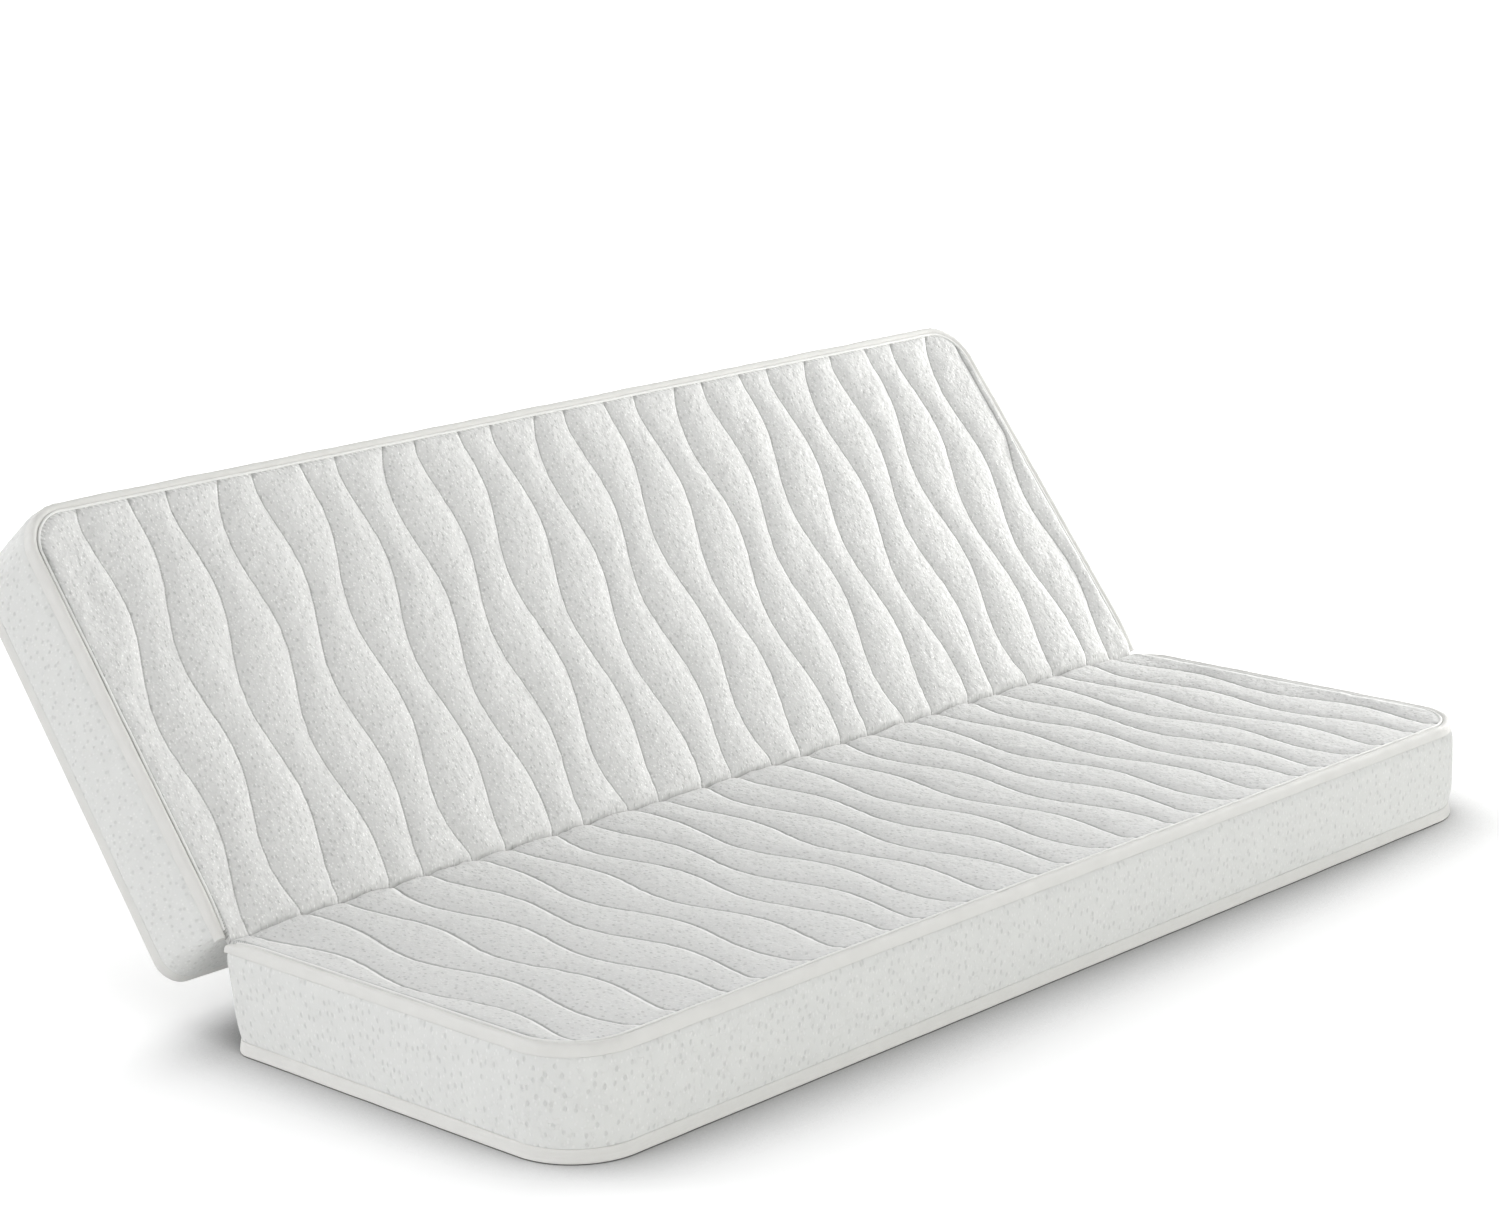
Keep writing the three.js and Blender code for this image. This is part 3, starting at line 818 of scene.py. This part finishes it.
def straight(start, end, steps):
    """Stations between two others, which are left out."""
    place, out = start
    return [(place.lerp(end[0], step / steps), out) for step in range(1, steps)]


def far_corners(far_radius):
    centre_y = far_radius - FAR_EDGE
    left = arc(-1, centre_y, far_radius, 180, FAR_STEPS)
    right = arc(1, centre_y, far_radius, 270, FAR_STEPS)
    return left + straight(left[-1], right[0], FRONT_STEPS) + right


def whole_outline(fold_radius, far_radius):
    """A section's whole outline, from the fold's left end and back to it."""
    centre_y = -FOLD_GAP - fold_radius
    left = arc(-1, centre_y, fold_radius, 90, FOLD_STEPS)
    right = arc(1, centre_y, fold_radius, 0, FOLD_STEPS)
    far = far_corners(far_radius)
    return (left + straight(left[-1], far[0], SIDE_STEPS) + far
            + straight(far[-1], right[0], SIDE_STEPS) + right
            + straight(right[-1], left[0], FRONT_STEPS) + left[:1])


def free_sides(start, far_radius):
    """The three free sides, from a distance start from the fold's axis round to the other end."""
    far = far_corners(far_radius)
    ends = [(Vector((side * HALF_WIDTH, -start)), Vector((side, 0))) for side in (-1, 1)]
    return (ends[:1] + straight(ends[0], far[0], SIDE_STEPS) + far
            + straight(far[-1], ends[1], SIDE_STEPS) + ends[1:])


def lengths_along(points):
    total = 0.0
    lengths = [total]
    for first, second in zip(points, points[1:]):
        total += (second - first).length
        lengths.append(total)
    return lengths


def moved_in(station, inset, z):
    """A station's point at a height, moved in by inset. The fold face never bulges."""
    place, out = station
    inset_y = max(0.0, inset) if out.y > 0 else inset
    return Vector((place.x - out.x * inset, place.y - out.y * inset_y, z))


def wrapped(rings, rise):
    """A closed skin through rings of points, with its cloth map in metres."""
    along = lengths_along(rings[0])
    columns = len(along) - 1
    rows = len(rise) - 1
    cloth = bmesh.new()
    bmesh.ops.create_grid(cloth, x_segments=columns, y_segments=rows, size=1)
    cloth_map = cloth.loops.layers.uv.new("cloth")
    spots = {vert: grid_spot(vert, columns, rows) for vert in cloth.verts}
    for face in cloth.faces:
        for loop in face.loops:
            column, row = spots[loop.vert]
            loop[cloth_map].uv = (along[column], rise[row])
    for vert, (column, row) in spots.items():
        vert.co = rings[row][column]
    bmesh.ops.remove_doubles(cloth, verts=cloth.verts, dist=WELD)
    open_edges = [edge for edge in cloth.edges if edge.is_boundary]
    if open_edges:
        bmesh.ops.holes_fill(cloth, edges=open_edges)
    bmesh.ops.recalc_face_normals(cloth, faces=cloth.faces)
    return cloth


def near_far_corner(place, far_radius):
    """1 in a far corner, fading along the straight sides."""
    from_corner = math.hypot(max(0, HALF_WIDTH - far_radius - abs(place.x)),
                             max(0, place.y + FAR_EDGE - far_radius))
    return 1 - smooth(from_corner / CORNER_FADE)


def fold_drop(place):
    left = 1 - clamp((-place.y - FOLD_GAP) / FOLD_ROLL)
    return TAPE_FOLD_DROP * left * left


# Outline of the top tape, outside going up first, as shares of its width and height, and the outer
# share of its width that is uneven
TAPE_SHARES = [
    (-0.14, 0), (-0.145, 0.04), (-0.145, 0.12), (-0.14, 0.24), (-0.13, 0.4), (-0.1, 0.6), (-0.04, 0.78),
    (0.07, 0.92), (0.2, 0.98), (0.36, 1), (0.52, 0.97), (0.68, 0.88), (0.83, 0.72), (0.95, 0.5), (1, 0.28),
    (1, 0), (-0.14, 0),
]
TAPE_UNEVEN_SHARE = 0.6


def gathered(along, period, wander=0.0):
    """The wave of a gather, between -1 and 1."""
    return math.sin(math.tau * along / period + wander)


def top_tape(seed, far_radius):
    stations = free_sides(FOLD_GAP, far_radius)
    along = lengths_along([place for place, _ in stations])
    gather_height, gather_period = TAPE_GATHER
    rings = []
    for width_share, height_share in TAPE_SHARES:
        ring = []
        for station, length in zip(stations, along):
            inset = TAPE_WIDTH * width_share
            if 0 < height_share < 1 and width_share < TAPE_UNEVEN_SHARE:
                gather = near_far_corner(station[0], far_radius) * gathered(length, gather_period)
                inset += (ripple(length, 0, seed, *TAPE_WAVE) + ripple(length, 0, seed, *TAPE_RIPPLE)
                          + gather_height * gather * height_share)
            sink = abs(ripple(length, TAPE_SINK_ROW, seed, *TAPE_SINK))
            drop = (fold_drop(station[0]) + sink) * height_share
            ring.append(moved_in(station, inset, TAPE_BASE + TAPE_HEIGHT * height_share - drop))
        rings.append(ring)
    points = [Vector((TAPE_WIDTH * across, TAPE_HEIGHT * up)) for across, up in TAPE_SHARES]
    return wrapped(rings, lengths_along(points))


def piping_cord(seed, far_radius):
    stations = free_sides(PIPING_END_GAP, far_radius)
    along = lengths_along([place for place, _ in stations])
    centre_inset = TAPE_WIDTH - PIPING_FROM_QUILT
    centre_z = CREST - PIPING_BELOW_CREST - PIPING_RADIUS
    rings = []
    for side in range(PIPING_SIDES + 1):
        angle = math.tau * (side % PIPING_SIDES) / PIPING_SIDES
        ring = []
        for station, length in zip(stations, along):
            shift = ripple(length, PIPING_ROW, seed, *PIPING_WAVE)
            drop = fold_drop(station[0]) * (centre_z - TAPE_BASE) / TAPE_HEIGHT
            inset = centre_inset + shift + PIPING_RADIUS * math.cos(angle)
            ring.append(moved_in(station, inset, centre_z - drop - PIPING_RADIUS * math.sin(angle)))
        rings.append(ring)
    rise = [math.tau * PIPING_RADIUS * side / PIPING_SIDES for side in range(PIPING_SIDES + 1)]
    return wrapped(rings, rise)


# Heights of the border's rows as shares, closer at its hems
BORDER_SHARES = [
    0, 0.015, 0.04, 0.07, 0.11, 0.17, 0.25, 0.35, 0.45, 0.55, 0.65, 0.74, 0.81, 0.86,
    0.89, 0.91, 0.93, 0.95, 0.97, 0.985, 1,
]
ROLL_BELOW_TOP_TAPE = 13 * MM
ROLL_ABOVE_BOTTOM_TAPE = 40 * MM
SWELL_AT_TOP_TAPE = 0.4
HEM_TUCK = 0.1 * MM
HEM_TUCK_REACH = 1.2 * MM
BULGE_LIMIT = BULGE + 1 * MM
BORDER_RIPPLE_STRETCH = 4


def border_swell(z):
    """How far the border stands out at height z: fast below its top tape, slowly above its bottom one."""
    held_above = 1 - clamp((BORDER_TOP - z) / ROLL_BELOW_TOP_TAPE)
    held_below = 1 - clamp((z - BORDER_BASE) / ROLL_ABOVE_BOTTOM_TAPE)
    tuck = HEM_TUCK * math.exp(-(BORDER_TOP - z) / HEM_TUCK_REACH)
    at_top = 1 - (1 - SWELL_AT_TOP_TAPE) * held_above ** 2
    return BULGE * at_top * (1 - held_below ** 2) - tuck


def under_sag(place, sag):
    """How much the underside sags: fully at the fold, and not at the far edge."""
    return sag * (1 + place.y / FAR_EDGE)


def border_band(seed, far_radius, sag):
    """The side band: it bulges between its tapes, and gathers a little in the far corners."""
    height = BORDER_TOP - BORDER_BASE
    gather_height, gather_period = BORDER_GATHER
    rings = []
    outlines = {}
    for share in BORDER_SHARES:
        radius = FOLD_RADIUS_BOTTOM + (FOLD_RADIUS_TOP - FOLD_RADIUS_BOTTOM) * share
        outlines[share] = whole_outline(radius, far_radius)
    along = lengths_along([place for place, _ in outlines[0]])
    for share in BORDER_SHARES:
        swell = math.sin(math.pi * share)
        ring = []
        for station, length in zip(outlines[share], along):
            z = BORDER_BASE + height * share
            wave = (ripple(length, z, seed, *BORDER_WAVE)
                    + ripple(length, z / BORDER_RIPPLE_STRETCH, seed, *BORDER_RIPPLE))
            wander = ripple(length, z, seed + GATHER_SEED_STEP, *BORDER_GATHER_WANDER)
            gather = gathered(length, gather_period, wander) * near_far_corner(station[0], far_radius)
            out = min(border_swell(z) + swell * (wave + gather_height * gather), BULGE_LIMIT)
            ring.append(moved_in(station, -out, z - under_sag(station[0], sag) * (1 - share)))
        ring[-1] = ring[0]
        rings.append(ring)
    for share in (1, 0):
        rings.append([
            moved_in(station, BORDER_THICKNESS,
                     BORDER_BASE + height * share - under_sag(station[0], sag) * (1 - share))
            for station in outlines[share]
        ])
    rings.append(rings[0])
    rise = [height * share for share in BORDER_SHARES]
    rise += [height + BORDER_THICKNESS, -BORDER_THICKNESS, 0.0]
    return wrapped(rings, rise)


# Outline of the bottom tape, outside going up first: how far out in millimetres, and share of its height
BOTTOM_TAPE_SHAPE = [
    (1, 0), (3.2, 0.06), (4.2, 0.19), (3.9, 0.33), (2.9, 0.41), (3.2, 0.49), (2.8, 0.61), (1.9, 0.69),
    (2.1, 0.77), (1.4, 0.89), (0.3, 1), (-3, 1), (-3, 0), (1, 0),
]


def bottom_tape(seed, far_radius, sag, roll):
    stations = whole_outline(FOLD_RADIUS_BOTTOM, far_radius)
    along = lengths_along([place for place, _ in stations])
    rings = []
    for out, share in BOTTOM_TAPE_SHAPE:
        ring = []
        for station, length in zip(stations, along):
            outward = out * MM
            if out > 0:
                outward = outward * roll + ripple(length, 0, seed, *BOTTOM_TAPE_WAVE)
            lift = ripple(length, BOTTOM_TAPE_ROW, seed, *BOTTOM_TAPE_LIFT) * share * (1 - share)
            lift -= under_sag(station[0], sag)
            ring.append(moved_in(station, -outward, BOTTOM_TAPE_HEIGHT * share + lift))
        ring[-1] = ring[0]
        rings.append(ring)
    points = [Vector((out * MM, BOTTOM_TAPE_HEIGHT * share)) for out, share in BOTTOM_TAPE_SHAPE]
    return wrapped(rings, lengths_along(points))


# The underside cloth's hem
UNDER_HEM_WIDTH = 2.5 * MM
UNDER_HEM_LIFT = 0.8 * MM


def bottom_panel(far_radius, sag):
    """The underside cloth, drawn in at its edge by the tape."""
    inset = BOTTOM_TAPE_THICKNESS + CLEARANCE
    stations = whole_outline(FOLD_RADIUS_BOTTOM, far_radius)[:-1]
    cloth = bmesh.new()
    cloth_map = cloth.loops.layers.uv.new("cloth")
    rim = [cloth.verts.new(moved_in(station, inset, UNDER_HEM_LIFT)) for station in stations]
    inner = cloth.faces.new(rim)
    bmesh.ops.inset_region(cloth, faces=[inner], thickness=UNDER_HEM_WIDTH, depth=0)
    for vert in inner.verts:
        vert.co.z = 0
    raised = bmesh.ops.extrude_face_region(cloth, geom=cloth.faces[:])["geom"]
    for item in raised:
        if isinstance(item, bmesh.types.BMVert):
            item.co.z = BOTTOM_PANEL_THICKNESS
    for vert in cloth.verts:
        vert.co.z -= under_sag(vert.co, sag)
    for face in cloth.faces:
        for loop in face.loops:
            loop[cloth_map].uv = loop.vert.co.xy
    bmesh.ops.recalc_face_normals(cloth, faces=cloth.faces)
    return cloth


def section_place(body):
    """Takes a flat section, with the fold's axis over y = 0, to its place at rest."""
    if body == SEAT:
        return Matrix.Translation((0, AXIS.y, 0))
    return (Matrix.Translation(AXIS) @ Matrix.Rotation(RAISE, 4, "X")
            @ Matrix.Translation((0, 0, -AXIS.z)) @ Matrix.Rotation(math.pi, 4, "Z"))


def sew_section(body, prefix):
    """Sews the pieces round one section, gives each its body, and hides the CAD part that it takes the place
    of.
    """
    seed = SECTION_SEEDS[body]
    radius = FAR_RADIUS[body]
    sag = UNDER_SAG[body]
    roll = BOTTOM_TAPE_ROLL[body]
    sewn = {}
    pieces = {
        "top_edge_tape": (top_tape(seed, radius), tape_cloth, "edge_tape"),
        "piping_cord": (piping_cord(seed, radius), cord_cloth, "piping"),
        "border_band": (border_band(seed, radius, sag), border_knit, "border_knit"),
        "bottom_edge_tape": (bottom_tape(seed, radius, sag, roll), tape_cloth, "edge_tape"),
        "bottom_panel": (bottom_panel(radius, sag), under_cloth, "underside_cloth"),
    }
    for kind, (cloth, material, slot) in pieces.items():
        bmesh.ops.transform(cloth, matrix=section_place(body), verts=cloth.verts)
        piece = make_piece(f"{prefix}_sewn_{kind}", cloth, material)
        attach(piece, body)
        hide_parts(f"{prefix}_{kind}")
        sewn[kind] = piece
    for kind, material in fillings.items():
        node = frame["nodes"][f"{prefix}_{kind}"]
        node.data.materials.clear()
        node.data.materials.append(material)
    return sewn


# Floor, light and camera

WORLD_LEVEL = 0.25
WORLD_COLOUR = (0.98, 0.99, 1.0, 1)
WHITE = (1, 1, 1, 1)
BLACK = (0, 0, 0, 1)
FLOOR_SIZE = 40
FLOOR_DROP = 0.5 * MM
FLOOR_COLOUR = (0.95, 0.95, 0.95, 1)
FLOOR_GLOW_NEAR = 0.35
FLOOR_GLOW_FAR = 0.5
GLOW_REACH = (1.0, 6.0)
GLOW_UNDER_BACK = 0.06
GLOW_TOWARDS_BACK = (0.2, 0.6)
# A painted contact shadow on the floor that the camera sees: its samples, reach and steepness, weaker under
# the back and at the left end
CONTACT_SHADOW_SAMPLES = 8
CONTACT_SHADOW_REACH = 0.45
CONTACT_SHADOW_POWER = 1.4
CONTACT_SHADOW_UNDER_BACK = 0.1
CONTACT_SHADOW_TOWARDS_BACK = (0.3, 0.48)
CONTACT_SHADOW_AT_LEFT = 0.5
CONTACT_SHADOW_TOWARDS_LEFT = (-1.15, -0.85)

# A lamp beside the quilt, low enough to show its relief
GRAZING = {"place": (4.8, 0.1, 1.3), "aim": (0, 0.2, 0.35), "size": 1.3, "power": 165,
           "colour": (1.0, 1.0, 0.98)}

# Even light: the direction that it comes from, its level, its spread in degrees, and its colour
SUNS = {
    "right": ((0.9, 0.45, 0.3), 0.45, 30, (1.0, 1.0, 0.99)),
    "above": ((0.1, 0.35, 0.93), 0.22, 50, (1.0, 1.0, 1.0)),
    "left": ((-0.9, 0.4, 0.15), 0.47, 40, (0.99, 0.99, 1.0)),
    "behind": ((-0.25, 0.9, 0.35), 0.25, 40, (1.0, 1.0, 1.0)),
    "front": ((0.0, -0.95, 0.25), 0.56, 60, (1.0, 1.0, 0.98)),
}


def white_when_seen(tree, plain, white):
    """Mixes a plain shader with what the camera, and reflections, see as white."""
    path = add_node(tree, "ShaderNodeLightPath").outputs
    seen = calculate(tree, "MAXIMUM", path["Is Camera Ray"], path["Is Glossy Ray"])
    seen = calculate(tree, "MAXIMUM", seen, path["Is Transmission Ray"])
    return result_of(fill_in_order(tree, add_node(tree, "ShaderNodeMixShader"), seen, plain, white))


def floor_shader(tree):
    """A matt floor. The camera sees it glow a little, and darker close to what stands on it, as a painted
    contact shadow.
    """
    place = add_node(tree, "ShaderNodeTexCoord").outputs["Object"]
    across, back, _ = split_xyz(tree, place)
    contact_shadow = join(tree, add_node(tree, "ShaderNodeAmbientOcclusion", samples=CONTACT_SHADOW_SAMPLES),
                   distance=CONTACT_SHADOW_REACH)
    power = multiply(tree, remap(tree, back, *CONTACT_SHADOW_TOWARDS_BACK,
                                 CONTACT_SHADOW_POWER, CONTACT_SHADOW_POWER * CONTACT_SHADOW_UNDER_BACK),
                     remap(tree, across, *CONTACT_SHADOW_TOWARDS_LEFT, CONTACT_SHADOW_AT_LEFT, 1.0))
    openness = calculate(tree, "POWER", contact_shadow.outputs["AO"], power)
    away = calculate(tree, "LENGTH", place, kind=VECTOR_MATH)
    level = calculate(tree, "ADD", remap(tree, away, *GLOW_REACH, FLOOR_GLOW_NEAR, FLOOR_GLOW_FAR),
                      remap(tree, back, *GLOW_TOWARDS_BACK, 0.0, GLOW_UNDER_BACK))
    matt = join(tree, add_node(tree, "ShaderNodeBsdfDiffuse"), color=FLOOR_COLOUR)
    # The camera sees the floor's colour darkened by the painted contact shadow
    shaded = join(tree, add_node(tree, "ShaderNodeBsdfDiffuse"),
                  color=blend_colours(tree, openness, BLACK, FLOOR_COLOUR))
    glow = join(tree, add_node(tree, "ShaderNodeEmission"), strength=multiply(tree, level, openness))
    both = fill_in_order(tree, add_node(tree, "ShaderNodeAddShader"), result_of(shaded), result_of(glow))
    return white_when_seen(tree, result_of(matt), result_of(both))


def studio_floor():
    cloth = bmesh.new()
    bmesh.ops.create_grid(cloth, x_segments=1, y_segments=1, size=FLOOR_SIZE)
    bmesh.ops.translate(cloth, verts=cloth.verts, vec=(0, 0, -FLOOR_DROP))
    material, tree, shader = new_material("studio floor")
    tree.nodes.remove(shader)
    join(tree, tree.nodes["Material Output"], surface=floor_shader(tree))
    floor = make_piece("studio_floor", cloth, material)
    return floor


def studio_world():
    world = bpy.data.worlds.new("studio")
    bpy.context.scene.world = world
    world.use_nodes = True
    tree = world.node_tree
    soft = join(tree, tree.nodes["Background"], color=WORLD_COLOUR, strength=WORLD_LEVEL)
    white = join(tree, add_node(tree, "ShaderNodeBackground"), color=WHITE, strength=1.0)
    shown = white_when_seen(tree, result_of(soft), result_of(white))
    join(tree, tree.nodes["World Output"], surface=shown)


def new_lamp(light, colour, towards):
    """Adds a lamp whose light comes from a direction."""
    light.color = colour
    lamp = bpy.data.objects.new(light.name, light)
    lamp.rotation_euler = (-Vector(towards)).to_track_quat("-Z", "Y").to_euler()
    bpy.context.scene.collection.objects.link(lamp)
    return lamp


def soft_sun(name, towards, level, spread_deg, colour):
    """Even light that comes from a direction. A level of 1 lights a white surface that faces it to white."""
    light = bpy.data.lights.new(name, "SUN")
    light.energy = math.pi * level
    light.angle = math.radians(spread_deg)
    return new_lamp(light, colour, towards)


def soft_light(name, place, aim, size, power, colour):
    light = bpy.data.lights.new(name, "AREA")
    light.shape = "DISK"
    light.size = size
    light.energy = power
    lamp = new_lamp(light, colour, Vector(place) - Vector(aim))
    lamp.location = place
    return lamp


def light_only(lamp, pieces):
    """Keeps a lamp's light to some pieces."""
    lit = bpy.data.collections.new(f"lit by the {lamp.name} light")
    for piece in pieces:
        lit.objects.link(piece)
    lamp.light_linking.receiver_collection = lit


def camera():
    lens = bpy.data.cameras.new("photo view")
    lens.sensor_fit = "HORIZONTAL"
    lens.sensor_width = CAMERA_SENSOR
    lens.lens = CAMERA_LENS
    viewer = bpy.data.objects.new("photo view", lens)
    look = Vector((math.sin(CAMERA_YAW) * math.cos(CAMERA_PITCH),
                   math.cos(CAMERA_YAW) * math.cos(CAMERA_PITCH), -math.sin(CAMERA_PITCH)))
    viewer.location = CAMERA_PLACE
    level = look.to_track_quat("-Z", "Y")
    viewer.rotation_euler = (level @ Quaternion((0, 0, 1), CAMERA_ROLL)).to_euler()
    bpy.context.scene.collection.objects.link(viewer)
    bpy.context.scene.camera = viewer


camera()
bpy.context.scene.view_settings.view_transform = "Standard"
floor = studio_floor()
studio_world()
grazing = soft_light("grazing", **GRAZING)
suns = {name: soft_sun(name, *settings) for name, settings in SUNS.items()}

panel = quilted_panel()
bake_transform(panel)
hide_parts("seat_quilted_top", "back_quilted_top", "fold_hinge_strip")

lit_grazing = [floor, panel]
lit_plain = []
for body, prefix in ((SEAT, "seat"), (BACK, "back")):
    sewn = sew_section(body, prefix)
    lit_grazing += [sewn["top_edge_tape"], sewn["piping_cord"]]
    lit_plain += [sewn["border_band"], sewn["bottom_edge_tape"]]
light_only(grazing, lit_grazing)
light_only(suns["right"], lit_plain)
